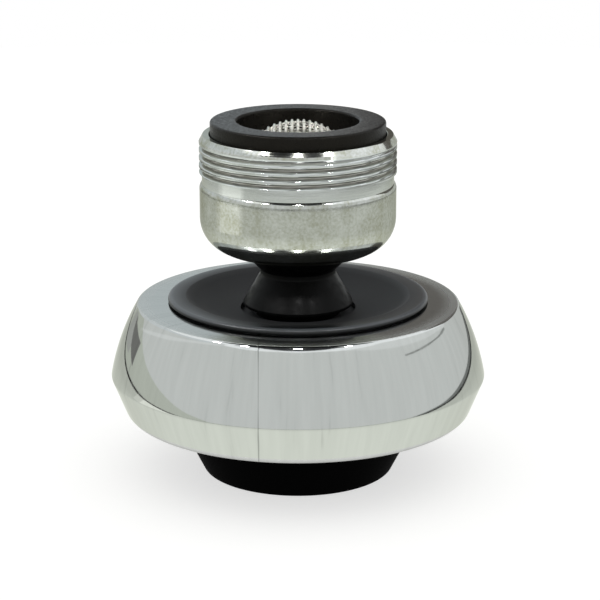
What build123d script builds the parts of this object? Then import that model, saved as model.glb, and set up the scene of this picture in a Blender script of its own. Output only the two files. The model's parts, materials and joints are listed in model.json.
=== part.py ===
"""Swivel tap aerator: a threaded tap collar, a ball joint, and a pull-down head with stream and spray.

The pieces share one vertical axis at x = y = 0. Heights run up from the outlet's bottom face,
so the whole thing stands on z = 0, as it does on a table. Every size is in millimetres.
"""
import math
import os

from build123d import *

# Clearances
running_gap = 0.08      # a turned piece inside a bore that it slides or turns in
socket_gap = 0.10       # the ball in its seat and clamp
assembly_gap = 0.10     # pieces that are screwed or pushed together
seal_gap = 0.05         # a rubber ring beside the wall that it seals on
flare_gap = 0.35        # the stem's flared skirt in the dish's hole
wall_top_gap = 0.50     # the chamber's wall under the dish
clamp_lift = 0.30       # the clamp above the seat

# Water chamber and outlet foot
chamber_d = 23.8
chamber_wall = 1.9
plate_rise = 1.0
plate_t = 1.4
foot_h = 6.6
foot_step = 1.1         # from the chamber's outer wall out to the foot's upper edge
foot_margin = 1.42      # from the ring of spray holes out to the foot's lower edge
foot_edge_round = 0.6
spray_inset = 1.75      # from the chamber's inner wall in to the ring of spray holes
spray_hole_d = 0.9
spray_hole_count = 24
spray_channel_w = 1.1
spray_floor = 1.6
mouth_chamfer = 0.25

# Aerator insert
insert_web = 0.75       # wall between the spray channel and the insert's pocket
insert_roof = 1.2       # from the pocket's ceiling up to the chamber's floor
insert_ledge_w = 0.95
insert_recess = 0.3
insert_gasket_t = 0.7
insert_gasket_w = 1.35
housing_wall = 0.85
housing_flange_t = 0.5
housing_flange_w = 0.6
screen_t = 0.3
screen_spacer_h = 0.8
screen_spacer_w = 0.6
screen_pitch = 1.3
screen_wire_w = 0.4
upper_screen_pitch = 1.6
jet_disc_t = 1.0
jet_skirt_w = 0.8
jet_hole_d = 1.0
jet_ring_margin = 2.0   # from the disc's skirt in to the outer ring of jets
jet_ring_step = 2.4     # from the outer ring of jets in to the inner one
jet_outer_count = 16
jet_inner_count = 8

# Flow divider and its gasket
divider_t = 1.4
divider_boss_h = 0.8
divider_port_d = 1.8
divider_port_count = 12
valve_gasket_lap = 0.6  # how far the gasket reaches past the spigot's end
valve_gasket_t = 1.2
valve_gasket_sunk = 0.7

# Chrome shell
shell_lip = 0.2
widest_d = 45.86
band_h = 4.85
band_taper = 1.96       # from the widest edge in to the hem
hem_w = 1.32
side_h = 8.98
side_crown = 0.42
shoulder_inset = 3.35   # from the widest edge in to the shoulder
land_rise = 0.17
shell_wall = 1.4
shell_ledge_w = 1.0
shell_ledge_t = 1.2
shoulder_round = 1.3
widest_round = 0.7
hem_round = 1.4

# Top dish
dish_lap = 0.85         # how far the dish's rim reaches over the shell's land
dish_rim_w = 2.2
dish_rim_proud = 0.7
dish_rim_round = 0.35
dish_depth = 1.65
dish_bowl_sag = 0.35
dish_recess = 0.65
dish_wall = 1.6
dish_skirt_wall = 1.1
dish_skirt_h = 8.8
sleeve_wall = 1.6

# Stem
stem_bore_d = 4.4
spigot_d = 10.0
spigot_step = 1.0       # shoulder above the spigot's thinner end
neck_d = 9.2
neck_len = 0.58
neck_round = 0.5
flare_d = 13.34
flare_lift = 1.1
flare_edge_h = 0.35
flare_edge_round = 0.175
flare_rise = 3.57
ball_flat_w = 0.35
restrictor_lap = 0.3    # how far the restrictor reaches past the waterway
restrictor_t = 1.0
restrictor_hole_d = 2.2
seal_section = 1.5
seal_groove_side = 0.1

# Stop ring and clip at the spigot's end
head_travel = 3.0
slip_lap = 1.22         # how far the stop ring reaches past the sleeve's bore
slip_ring_t = 1.2
clip_lap = 0.7          # how far the clip reaches past the spigot's end
clip_t = 0.6
clip_groove_depth = 0.5
clip_opening_w = 3.5
tip_land = 0.4

# Tap collar
male_thread_d = 23.8
thread_len = 4.55
thread_chamfer = 0.35
relief_depth = 0.33
relief_len = 1.1
band_inset = 0.03       # how far the plain band lies inside the thread's crests
band_edge_h = 0.62      # height of the rounded edge on top of the band
band_edge_round = 0.8
collar_h = 14.15
collar_cone_h = 2.05
collar_cone_round = 3.3
collar_lip_d = 17.7
collar_lip_t = 1.4
collar_rim_w = 1.235    # wall of the rim round the washer
shelf_w = 1.065         # ledge that the screen and the washer lie on
lip_grip = 0.1
ball_drop = 3.09
seat_w = 2.22           # wall of the ring round the ball
ball_seal_inset = 1.8   # from the ball's widest circle in to its seal
clamp_cap_t = 1.2
clamp_cap_lap = 1.2     # how far the clamp's cap reaches in past the seal's middle

# Inlet washer and screen
washer_hole_d = 14.66
washer_proud = 1.6
washer_round = 0.25
inlet_depth = 1.4
inlet_screen_t = 0.35
inlet_dome_r = 6.6
inlet_pitch = 0.88
inlet_wire_w = 0.32


def lattice(radius, pitch, gap):
    """Centres of the square gaps of a wire screen that lie whole inside a radius."""
    reach = math.ceil(radius / pitch)
    steps = [i * pitch for i in range(-reach, reach + 1)]
    corner_reach = gap / math.sqrt(2)
    return [(x, y) for x in steps for y in steps if math.hypot(x, y) + corner_reach < radius]


def corner(r, z):
    """The vertex of the profile being drawn that lies nearest to a radius and a height."""
    return vertices().sort_by_distance((r, z, 0))[0]


def ball_height(radius, r):
    """How far above a ball's centre its surface stands at a distance r from the axis."""
    return math.sqrt(radius ** 2 - r ** 2)


# Radii of the head, from the water chamber in and out
chamber_r = chamber_d / 2
wall_r = chamber_r + chamber_wall
spray_r = chamber_r - spray_inset
channel_in_r = spray_r - spray_channel_w / 2
channel_out_r = spray_r + spray_channel_w / 2
foot_r = spray_r + foot_margin
foot_top_r = wall_r + foot_step
pocket_r = channel_in_r - insert_web
insert_r = pocket_r - assembly_gap
housing_bore_r = insert_r - housing_wall
screen_r = housing_bore_r - assembly_gap
boss_hole_r = pocket_r - insert_ledge_w
boss_r = boss_hole_r - assembly_gap
skirt_in_r = wall_r + assembly_gap
skirt_out_r = skirt_in_r + dish_skirt_wall
dish_r = skirt_out_r + dish_lap
dish_rim_in_r = dish_r - dish_rim_w
shell_hole_r = skirt_out_r + assembly_gap
widest_r = widest_d / 2
band_r = widest_r - band_taper
shoulder_r = widest_r - shoulder_inset
shell_mouth_r = band_r - hem_w
plate_r = shell_mouth_r - assembly_gap

# Radii of the stem, from its waterway out
port_r = stem_bore_d / 2
restrictor_r = port_r + restrictor_lap
restrictor_bore_r = restrictor_r + seal_gap
ball_flat_r = restrictor_bore_r + ball_flat_w
spigot_r = spigot_d / 2
spigot_end_r = spigot_r - spigot_step
clip_groove_r = spigot_end_r - clip_groove_depth
clip_r = spigot_end_r + clip_lap
valve_gasket_r = spigot_end_r + valve_gasket_lap
sleeve_bore_r = spigot_r + running_gap
sleeve_out_r = sleeve_bore_r + sleeve_wall
slip_ring_r = sleeve_bore_r + slip_lap
neck_r = neck_d / 2
flare_r = flare_d / 2
dish_hole_r = flare_r + flare_gap

# Radii of the collar and the ball, from the thread in
thread_r = male_thread_d / 2
relief_r = thread_r - relief_depth
collar_band_r = thread_r - band_inset
inlet_bore_r = thread_r - collar_rim_w
washer_r = inlet_bore_r - assembly_gap
washer_hole_r = washer_hole_d / 2
collar_bore_r = inlet_bore_r - shelf_w
collar_lip_r = collar_lip_d / 2
seat_r = collar_bore_r - running_gap
socket_r = seat_r - seat_w
ball_r = socket_r - socket_gap
lip_hole_r = ball_r - lip_grip
ball_seal_r = ball_r - ball_seal_inset
clamp_bore_r = ball_seal_r - clamp_cap_lap

# Levels of the head, from the outlet's bottom face up
insert_depth = foot_h - insert_roof
plate_bottom_z = foot_h + plate_rise
plate_top_z = plate_bottom_z + plate_t
shell_bottom_z = plate_bottom_z - shell_lip
widest_z = shell_bottom_z + band_h
shoulder_z = widest_z + side_h
land_z = shoulder_z + land_rise
dish_rim_z = land_z + dish_rim_proud
dish_edge_z = dish_rim_z - dish_depth
recess_z = dish_edge_z - dish_recess
ceiling_z = recess_z - dish_wall
ceiling_rim_z = land_z - dish_wall
skirt_bottom_z = land_z - dish_skirt_h
wall_top_z = ceiling_z - wall_top_gap
divider_top_z = foot_h + divider_t
valve_gasket_z = divider_top_z - valve_gasket_sunk
valve_gasket_top_z = valve_gasket_z + valve_gasket_t

# Levels of the stem and of the ring that stops the head
tip_z = valve_gasket_top_z + assembly_gap
clip_z = tip_z + tip_land
slip_z = clip_z + clip_t + assembly_gap
slip_top_z = slip_z + slip_ring_t
spigot_step_z = slip_top_z + assembly_gap
sleeve_bottom_z = slip_top_z + head_travel + assembly_gap
stem_seal_z = (sleeve_bottom_z + recess_z - head_travel) / 2
flare_z = recess_z + flare_lift
flare_edge_z = flare_z + flare_edge_h
neck_z = flare_edge_z + flare_rise
neck_top_z = neck_z + neck_len
ball_z = neck_top_z + ball_height(ball_r, neck_r)
ball_flat_z = ball_z + ball_height(ball_r, ball_flat_r)
restrictor_z = ball_flat_z - restrictor_t

# Levels of the collar and the inlet
collar_bottom_z = ball_z - ball_drop
lip_floor_z = collar_bottom_z + collar_lip_t
collar_top_z = collar_bottom_z + collar_h
thread_end_z = collar_top_z - thread_len
band_top_z = thread_end_z - relief_len
cone_top_z = collar_bottom_z + collar_cone_h
shelf_z = collar_top_z - inlet_depth
washer_z = shelf_z + inlet_screen_t
washer_top_z = collar_top_z + washer_proud
dome_centre_z = washer_top_z - inlet_dome_r
ball_seal_z = ball_z + ball_height(ball_r + seal_gap + seal_section / 2, ball_seal_r)
seal_pocket_r = ball_seal_r + seal_section / 2 + seal_gap
seal_pocket_z = ball_seal_z + seal_section / 2 + seal_gap
clamp_bottom_z = ball_z + clamp_lift
clamp_top_z = seal_pocket_z + clamp_cap_t


# Chrome-plated brass collar: rim, thread diameter, relief groove, plain band and a rounded underside
with BuildPart() as swivel_collar:
    with BuildSketch(Plane.XZ):
        with BuildLine():
            RadiusArc((collar_band_r, band_top_z - band_edge_h), (relief_r, band_top_z), -band_edge_round)
            Polyline(
                (relief_r, band_top_z),
                (relief_r, thread_end_z),
                (thread_r, thread_end_z),
                (thread_r, collar_top_z - thread_chamfer),
                (thread_r - thread_chamfer, collar_top_z),
                (inlet_bore_r, collar_top_z),
                (inlet_bore_r, shelf_z),
                (collar_bore_r, shelf_z),
                (collar_bore_r, lip_floor_z),
                (lip_hole_r, lip_floor_z),
                (lip_hole_r, collar_bottom_z),
                (collar_lip_r, collar_bottom_z),
                (collar_band_r, cone_top_z),
                (collar_band_r, band_top_z - band_edge_h),
            )
        make_face()
        fillet(corner(collar_band_r, cone_top_z), collar_cone_round)
    revolve(axis=Axis.Z)


# Rubber washer that seals on the spout
with BuildPart() as inlet_washer:
    with BuildSketch(Plane.XZ):
        with BuildLine():
            Polyline(
                (washer_hole_r, washer_z),
                (washer_r, washer_z),
                (washer_r, washer_top_z),
                (washer_hole_r, washer_top_z),
                close=True,
            )
        make_face()
        fillet([corner(washer_r, washer_top_z), corner(washer_hole_r, washer_top_z)], washer_round)
    revolve(axis=Axis.Z)


# Domed wire screen: a flange under the washer and a lattice of square gaps in the dome
dome_inner_r = inlet_dome_r - inlet_screen_t
dome_foot_r = ball_height(inlet_dome_r, washer_z - dome_centre_z)
dome_inner_foot_r = ball_height(dome_inner_r, shelf_z - dome_centre_z)
with BuildPart() as inlet_screen:
    with BuildSketch(Plane.XZ):
        with BuildLine():
            RadiusArc((dome_foot_r, washer_z), (0, washer_top_z), -inlet_dome_r)
            RadiusArc((0, washer_top_z - inlet_screen_t), (dome_inner_foot_r, shelf_z), dome_inner_r)
            Line((0, washer_top_z), (0, washer_top_z - inlet_screen_t))
            Polyline(
                (dome_inner_foot_r, shelf_z),
                (washer_r, shelf_z),
                (washer_r, washer_z),
                (dome_foot_r, washer_z),
            )
        make_face()
    revolve(axis=Axis.Z)
    inlet_gap = inlet_pitch - inlet_wire_w
    with BuildSketch(Plane.XY.offset(shelf_z)):
        with Locations(*lattice(dome_inner_foot_r, inlet_pitch, inlet_gap)):
            Rectangle(inlet_gap, inlet_gap)
    extrude(amount=washer_top_z - shelf_z, mode=Mode.SUBTRACT)


# Threaded ring above the ball, with the pocket for the ball's seal
pocket_foot_z = ball_z + ball_height(socket_r, seal_pocket_r)
clamp_mouth_r = ball_height(socket_r, clamp_bottom_z - ball_z)
clamp_r = collar_bore_r - assembly_gap
with BuildPart() as ball_clamp:
    with BuildSketch(Plane.XZ):
        with BuildLine():
            RadiusArc((clamp_mouth_r, clamp_bottom_z), (seal_pocket_r, pocket_foot_z), -socket_r)
            Polyline(
                (seal_pocket_r, pocket_foot_z),
                (seal_pocket_r, seal_pocket_z),
                (clamp_bore_r, seal_pocket_z),
                (clamp_bore_r, clamp_top_z),
                (clamp_r, clamp_top_z),
                (clamp_r, clamp_bottom_z),
                (clamp_mouth_r, clamp_bottom_z),
            )
        make_face()
    revolve(axis=Axis.Z)


# Plastic ring on the collar's lip that carries the ball and turns with it
seat_foot_r = ball_height(socket_r, ball_z - lip_floor_z)
with BuildPart() as ball_seat:
    with BuildSketch(Plane.XZ):
        with BuildLine():
            RadiusArc((seat_foot_r, lip_floor_z), (socket_r, ball_z), -socket_r)
            Polyline(
                (socket_r, ball_z),
                (seat_r, ball_z),
                (seat_r, lip_floor_z),
                (seat_foot_r, lip_floor_z),
            )
        make_face()
    revolve(axis=Axis.Z)


# Ball, neck, flared skirt and spigot, turned as one piece around the waterway
seal_groove_r = sleeve_bore_r - seal_gap - seal_section - seal_gap
seal_groove_half = seal_section / 2 + seal_groove_side
with BuildPart() as ball_stem:
    with BuildSketch(Plane.XZ):
        with BuildLine():
            RadiusArc((neck_r, neck_top_z), (ball_r, ball_z), -ball_r)
            RadiusArc((ball_r, ball_z), (ball_flat_r, ball_flat_z), -ball_r)
            Polyline(
                (ball_flat_r, ball_flat_z),
                (restrictor_bore_r, ball_flat_z),
                (restrictor_bore_r, restrictor_z),
                (port_r, restrictor_z),
                (port_r, tip_z),
                (spigot_end_r, tip_z),
                (spigot_end_r, clip_z),
                (clip_groove_r, clip_z),
                (clip_groove_r, clip_z + clip_t),
                (spigot_end_r, clip_z + clip_t),
                (spigot_end_r, spigot_step_z),
                (spigot_r, spigot_step_z),
                (spigot_r, stem_seal_z - seal_groove_half),
                (seal_groove_r, stem_seal_z - seal_groove_half),
                (seal_groove_r, stem_seal_z + seal_groove_half),
                (spigot_r, stem_seal_z + seal_groove_half),
                (spigot_r, flare_z),
                (flare_r, flare_z),
                (flare_r, flare_edge_z),
                (neck_r, neck_z),
                (neck_r, neck_top_z),
            )
        make_face()
        fillet(corner(flare_r, flare_edge_z), flare_edge_round)
        fillet([corner(neck_r, neck_z), corner(neck_r, neck_top_z)], neck_round)
    revolve(axis=Axis.Z)


# Disc with a metering hole, dropped into the ball's inlet
with BuildPart() as flow_restrictor:
    with BuildSketch(Plane.XY.offset(restrictor_z)):
        Circle(restrictor_r)
        Circle(restrictor_hole_d / 2, mode=Mode.SUBTRACT)
    extrude(amount=restrictor_t)


# Stop ring at the spigot's end
with BuildPart() as slip_ring:
    with BuildSketch(Plane.XY.offset(slip_z)):
        Circle(slip_ring_r)
        Circle(spigot_end_r + running_gap, mode=Mode.SUBTRACT)
    extrude(amount=slip_ring_t)


# Snap ring in the spigot's groove, open on one side
with BuildPart() as stem_clip:
    with BuildSketch(Plane.XY.offset(clip_z)):
        Circle(clip_r)
        Circle(clip_groove_r, mode=Mode.SUBTRACT)
        with Locations((clip_r, 0)):
            Rectangle(clip_r * 2, clip_opening_w, mode=Mode.SUBTRACT)
    extrude(amount=clip_t)


# Chrome-plated shell: flat land, crowned side, tapered band, and a ledge that sits on the foot's plate
ledge_top_z = plate_top_z + shell_ledge_t
ledge_r = shell_mouth_r - shell_ledge_w
inner_band_r = widest_r - shell_wall
inner_shoulder_r = shoulder_r - shell_wall
side_mid = ((shoulder_r + widest_r) / 2 + side_crown, (shoulder_z + widest_z) / 2)
inner_mid = (side_mid[0] - shell_wall, side_mid[1])
with BuildPart() as body_shell:
    with BuildSketch(Plane.XZ):
        with BuildLine():
            Line((shell_hole_r, land_z), (shoulder_r, shoulder_z))
            ThreePointArc((shoulder_r, shoulder_z), side_mid, (widest_r, widest_z))
            Polyline(
                (widest_r, widest_z),
                (band_r, shell_bottom_z),
                (shell_mouth_r, shell_bottom_z),
                (shell_mouth_r, plate_top_z),
                (ledge_r, plate_top_z),
                (ledge_r, ledge_top_z),
                (shell_mouth_r, ledge_top_z),
                (inner_band_r, widest_z),
            )
            ThreePointArc((inner_band_r, widest_z), inner_mid, (inner_shoulder_r, shoulder_z - shell_wall))
            Polyline(
                (inner_shoulder_r, shoulder_z - shell_wall),
                (shell_hole_r, land_z - shell_wall),
                (shell_hole_r, land_z),
            )
        make_face()
        fillet(corner(shoulder_r, shoulder_z), shoulder_round)
        fillet(corner(widest_r, widest_z), widest_round)
        fillet(corner(band_r, shell_bottom_z), hem_round)
    revolve(axis=Axis.Z)


# Black dished cap: raised rim, shallow bowl, sleeve for the stem, and a skirt that screws on the foot's wall
bowl_mid = (
    (dish_rim_in_r + dish_hole_r) / 2,
    (dish_rim_z + dish_edge_z) / 2 - dish_bowl_sag,
)
with BuildPart() as top_dish:
    with BuildSketch(Plane.XZ):
        with BuildLine():
            ThreePointArc((dish_hole_r, dish_edge_z), bowl_mid, (dish_rim_in_r, dish_rim_z))
            Polyline(
                (dish_rim_in_r, dish_rim_z),
                (dish_r, dish_rim_z),
                (dish_r, land_z),
                (skirt_out_r, land_z),
                (skirt_out_r, skirt_bottom_z),
                (skirt_in_r, skirt_bottom_z),
                (skirt_in_r, ceiling_rim_z),
                (sleeve_out_r, ceiling_z),
                (sleeve_out_r, sleeve_bottom_z),
                (sleeve_bore_r, sleeve_bottom_z),
                (sleeve_bore_r, recess_z),
                (dish_hole_r, recess_z),
                (dish_hole_r, dish_edge_z),
            )
        make_face()
        fillet(corner(dish_r, dish_rim_z), dish_rim_round)
    revolve(axis=Axis.Z)


# Black outlet: base plate, chamber wall, tapered foot, spray channel and the pocket for the aerator insert
chamber_seal_r = skirt_in_r - seal_gap - seal_section / 2
chamber_groove_r = chamber_seal_r - seal_section / 2 - seal_gap
chamber_seal_z = wall_top_z - seal_section
chamber_groove_half = seal_section / 2 + seal_groove_side
with BuildPart() as outlet_foot:
    with BuildSketch(Plane.XZ):
        with BuildLine():
            Polyline(
                (pocket_r + mouth_chamfer, 0),
                (foot_r, 0),
                (foot_top_r, foot_h),
                (plate_r, plate_bottom_z),
                (plate_r, plate_top_z),
                (wall_r, plate_top_z),
                (wall_r, chamber_seal_z - chamber_groove_half),
                (chamber_groove_r, chamber_seal_z - chamber_groove_half),
                (chamber_groove_r, chamber_seal_z + chamber_groove_half),
                (wall_r, chamber_seal_z + chamber_groove_half),
                (wall_r, wall_top_z),
                (chamber_r, wall_top_z),
                (chamber_r, foot_h),
                (channel_out_r, foot_h),
                (channel_out_r, spray_floor),
                (channel_in_r, spray_floor),
                (channel_in_r, foot_h),
                (boss_hole_r, foot_h),
                (boss_hole_r, insert_depth),
                (pocket_r, insert_depth),
                (pocket_r, mouth_chamfer),
                close=True,
            )
        make_face()
        fillet(corner(foot_r, 0), foot_edge_round)
    revolve(axis=Axis.Z)
    with BuildSketch(Plane.XY):
        with PolarLocations(spray_r, spray_hole_count):
            Circle(spray_hole_d / 2)
    extrude(amount=spray_floor, mode=Mode.SUBTRACT)


# Disc that sends the water to the aerator or to the spray channel
with BuildPart() as flow_divider:
    with BuildSketch(Plane.XZ):
        with BuildLine():
            Polyline(
                (port_r, foot_h - divider_boss_h),
                (boss_r, foot_h - divider_boss_h),
                (boss_r, foot_h),
                (chamber_r - assembly_gap, foot_h),
                (chamber_r - assembly_gap, divider_top_z),
                (valve_gasket_r + seal_gap, divider_top_z),
                (valve_gasket_r + seal_gap, valve_gasket_z),
                (port_r, valve_gasket_z),
                close=True,
            )
        make_face()
    revolve(axis=Axis.Z)
    with BuildSketch(Plane.XY.offset(foot_h)):
        with PolarLocations(spray_r, divider_port_count):
            Circle(divider_port_d / 2)
    extrude(amount=divider_t, mode=Mode.SUBTRACT)


# Rubber ring in the divider that the spigot's end closes on
with BuildPart() as valve_gasket:
    with BuildSketch(Plane.XY.offset(valve_gasket_z)):
        Circle(valve_gasket_r)
        Circle(port_r, mode=Mode.SUBTRACT)
    extrude(amount=valve_gasket_t)


# Rubber ring between the foot and the aerator insert
insert_gasket_z = insert_depth - insert_gasket_t
with BuildPart() as insert_gasket:
    with BuildSketch(Plane.XY.offset(insert_gasket_z)):
        Circle(insert_r)
        Circle(insert_r - insert_gasket_w, mode=Mode.SUBTRACT)
    extrude(amount=insert_gasket_t)


# Cup of the aerator insert, with an inward flange under the screens
flange_top_z = insert_recess + housing_flange_t
with BuildPart() as aerator_housing:
    with BuildSketch(Plane.XZ):
        with BuildLine():
            Polyline(
                (housing_bore_r - housing_flange_w, insert_recess),
                (insert_r, insert_recess),
                (insert_r, insert_gasket_z),
                (housing_bore_r, insert_gasket_z),
                (housing_bore_r, flange_top_z),
                (housing_bore_r - housing_flange_w, flange_top_z),
                close=True,
            )
        make_face()
    revolve(axis=Axis.Z)


# Two flat wire screens, with a ring that holds them apart
spacer_z = flange_top_z + screen_t
upper_screen_z = spacer_z + screen_spacer_h
screen_open_r = screen_r - screen_spacer_w
lower_gap = screen_pitch - screen_wire_w
with BuildPart() as lower_screen:
    with BuildSketch(Plane.XY.offset(flange_top_z)):
        Circle(screen_r)
        with Locations(*lattice(screen_open_r, screen_pitch, lower_gap)):
            Rectangle(lower_gap, lower_gap, mode=Mode.SUBTRACT)
    extrude(amount=screen_t)

upper_gap = upper_screen_pitch - screen_wire_w
with BuildPart() as upper_screen:
    with BuildSketch(Plane.XY.offset(upper_screen_z)):
        Circle(screen_r)
        with Locations(*lattice(screen_open_r, upper_screen_pitch, upper_gap)):
            Rectangle(upper_gap, upper_gap, mode=Mode.SUBTRACT)
    extrude(amount=screen_t)

with BuildPart() as screen_spacer:
    with BuildSketch(Plane.XY.offset(spacer_z)):
        Circle(screen_r)
        Circle(screen_open_r, mode=Mode.SUBTRACT)
    extrude(amount=screen_spacer_h)


# Perforated disc on a skirt that stands on the upper screen
jet_skirt_z = upper_screen_z + screen_t
jet_disc_z = insert_gasket_z - jet_disc_t
jet_skirt_in_r = screen_r - jet_skirt_w
jet_outer_r = jet_skirt_in_r - jet_ring_margin
jet_inner_r = jet_outer_r - jet_ring_step
with BuildPart() as jet_disc:
    with BuildSketch(Plane.XY.offset(jet_skirt_z)):
        Circle(screen_r)
        Circle(jet_skirt_in_r, mode=Mode.SUBTRACT)
    extrude(amount=jet_disc_z - jet_skirt_z)
    with BuildSketch(Plane.XY.offset(jet_disc_z)):
        Circle(screen_r)
        with PolarLocations(jet_outer_r, jet_outer_count):
            Circle(jet_hole_d / 2, mode=Mode.SUBTRACT)
        with PolarLocations(jet_inner_r, jet_inner_count):
            Circle(jet_hole_d / 2, mode=Mode.SUBTRACT)
    extrude(amount=jet_disc_t)


# The three O-rings
with BuildPart() as ball_seal:
    with BuildSketch(Plane.XZ):
        with Locations((ball_seal_r, ball_seal_z)):
            Circle(seal_section / 2)
    revolve(axis=Axis.Z)

stem_seal_r = sleeve_bore_r - seal_gap - seal_section / 2
with BuildPart() as stem_seal:
    with BuildSketch(Plane.XZ):
        with Locations((stem_seal_r, stem_seal_z)):
            Circle(seal_section / 2)
    revolve(axis=Axis.Z)

with BuildPart() as chamber_seal:
    with BuildSketch(Plane.XZ):
        with Locations((chamber_seal_r, chamber_seal_z)):
            Circle(seal_section / 2)
    revolve(axis=Axis.Z)


# Every piece is written under its own name
pieces = {
    "swivel_collar": swivel_collar,
    "inlet_washer": inlet_washer,
    "inlet_screen": inlet_screen,
    "ball_clamp": ball_clamp,
    "ball_seal": ball_seal,
    "ball_seat": ball_seat,
    "ball_stem": ball_stem,
    "flow_restrictor": flow_restrictor,
    "stem_seal": stem_seal,
    "stem_clip": stem_clip,
    "slip_ring": slip_ring,
    "body_shell": body_shell,
    "top_dish": top_dish,
    "chamber_seal": chamber_seal,
    "outlet_foot": outlet_foot,
    "flow_divider": flow_divider,
    "valve_gasket": valve_gasket,
    "insert_gasket": insert_gasket,
    "aerator_housing": aerator_housing,
    "jet_disc": jet_disc,
    "upper_screen": upper_screen,
    "screen_spacer": screen_spacer,
    "lower_screen": lower_screen,
}
os.makedirs("parts", exist_ok=True)
for name, piece in pieces.items():
    piece.part.label = name
    export_step(piece.part, f"parts/{name}.step")
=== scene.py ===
import json
import math

import bmesh
import bpy
from mathutils import Matrix, Vector


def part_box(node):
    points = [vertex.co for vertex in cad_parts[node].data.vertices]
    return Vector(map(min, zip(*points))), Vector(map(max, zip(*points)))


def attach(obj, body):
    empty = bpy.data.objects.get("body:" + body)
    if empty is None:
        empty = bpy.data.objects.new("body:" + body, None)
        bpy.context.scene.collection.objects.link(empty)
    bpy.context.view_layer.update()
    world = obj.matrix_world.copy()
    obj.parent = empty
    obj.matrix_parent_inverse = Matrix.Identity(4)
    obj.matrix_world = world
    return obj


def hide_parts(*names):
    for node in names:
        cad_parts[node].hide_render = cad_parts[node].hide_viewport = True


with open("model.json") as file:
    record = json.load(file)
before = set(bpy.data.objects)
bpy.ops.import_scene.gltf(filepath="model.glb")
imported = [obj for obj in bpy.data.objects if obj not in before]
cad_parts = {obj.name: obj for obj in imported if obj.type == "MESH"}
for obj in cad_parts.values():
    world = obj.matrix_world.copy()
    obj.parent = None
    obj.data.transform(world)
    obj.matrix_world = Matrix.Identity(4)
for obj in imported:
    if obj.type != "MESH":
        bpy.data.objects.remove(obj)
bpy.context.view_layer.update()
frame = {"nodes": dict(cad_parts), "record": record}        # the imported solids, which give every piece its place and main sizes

# Lengths are millimetres until a mesh or a shader takes them in metres
MM = 0.001

# How finely turned pieces are cut
TURN_STEPS = 192
ARC_STEP = math.radians(7.5)
ARC_STEPS_LEAST = 3
BOW_STEPS = 24
SWEEP_STEPS = 36
RUN_STEP = 0.6
SHARP_ANGLE = math.radians(32)


def reach(node):
    """Radius, lowest and highest level of a turned node."""
    low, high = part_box(node)
    return high.x / MM, low.z / MM, high.z / MM


collar_r, collar_bottom, collar_top = reach("swivel_collar")
washer_r, washer_bottom, washer_top = reach("inlet_washer")
_, mesh_bottom, mesh_top = reach("inlet_screen")
clamp_r, *_ = reach("ball_clamp")
_, seat_bottom, ball_level = reach("ball_seat")
ball_r, stem_bottom, ball_flat_level = reach("ball_stem")
_, shell_bottom, land_level = reach("body_shell")
dish_r, skirt_bottom, dish_rim_level = reach("top_dish")
foot_plate_r, foot_bottom, chamber_top = reach("outlet_foot")
insert_r, insert_bottom, insert_top = reach("aerator_housing")
outlet_mesh_r, outlet_mesh_bottom, outlet_mesh_top = reach("lower_screen")
restrictor_r, restrictor_bottom, _ = reach("flow_restrictor")
stem_seal_r, stem_seal_bottom, stem_seal_top = reach("stem_seal")
_, clip_bottom, clip_top = reach("stem_clip")
*_, slip_top = reach("slip_ring")
chamber_seal_r, chamber_seal_bottom, chamber_seal_top = reach("chamber_seal")
divider_r, *_ = reach("flow_divider")
*_, insert_depth = reach("insert_gasket")

# Fits between the pieces
ASSEMBLY_GAP = 0.10
RUNNING_GAP = 0.08
SEAL_GAP = 0.05
GROOVE_SIDE = 0.10

# Rim of the dish, and the shell's land, which rises from its outer edge towards the dish
DISH_RIM_W = 2.2
LAND_RISE = 0.17

# Tap thread, 27 to the inch, with its lead-in at the rim and a relief below it
THREAD_PITCH = 25.4 / 27
THREAD_DEPTH = 0.5
THREAD_CREST = 0.3
THREAD_ROOT = 0.1
THREAD_PHASE = 0.67
THREAD_ROWS_PER_PITCH = 18
THREAD_LEN = 4.55
THREAD_FADE = 0.6
THREAD_RUN_OUT = 0.12
LEAD_IN_W = 0.47
LEAD_IN_H = 0.85
LEAD_IN_ROUND = 0.12
RELIEF_LEN = 1.35
thread_end = collar_top - THREAD_LEN
band_top = thread_end - RELIEF_LEN
crest_top = collar_top - LEAD_IN_H


# Shader and geometry nodes

# Kinds of node that come often
MATH = "ShaderNodeMath"
VECTOR = "ShaderNodeVectorMath"
NOISE = "ShaderNodeTexNoise"
RAMP = "ShaderNodeValToRGB"
RANGE = "ShaderNodeMapRange"
SPLIT = "ShaderNodeSeparateXYZ"
JOIN = "ShaderNodeCombineXYZ"

# Sockets of a mix node, whose names repeat
FACTOR, VALUE_A, VALUE_B, COLOUR_A, COLOUR_B = 0, 2, 3, 6, 7
COLOUR_OUT = 2

# Noise keeps mostly between these two values
NOISE_LOW = 0.3
NOISE_HIGH = 0.7


def linear(colour):
    """An sRGB hex colour as the linear red, green, blue and alpha that shaders take."""
    channels = [int(colour[i:i + 2], 16) / 255 for i in (1, 3, 5)]
    return [c / 12.92 if c <= 0.04045 else ((c + 0.055) / 1.055) ** 2.4 for c in channels] + [1.0]


def add(tree, kind, inputs=(), stops=(), **settings):
    """Adds a node: its settings, a value, socket or node's first output for each input, a ramp's stops."""
    node = tree.nodes.new(kind)
    for key, value in settings.items():
        setattr(node, key, value)
    for key, value in dict(inputs).items():
        source = value.outputs[0] if isinstance(value, bpy.types.Node) else value
        if isinstance(source, bpy.types.NodeSocket):
            tree.links.new(source, node.inputs[key])
        else:
            node.inputs[key].default_value = source
    for place, (position, colour) in enumerate(stops):
        ramp = node.color_ramp.elements
        stop = ramp[place] if place < len(ramp) else ramp.new(position)
        stop.position = position
        stop.color = linear(colour)
    return node


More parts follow.
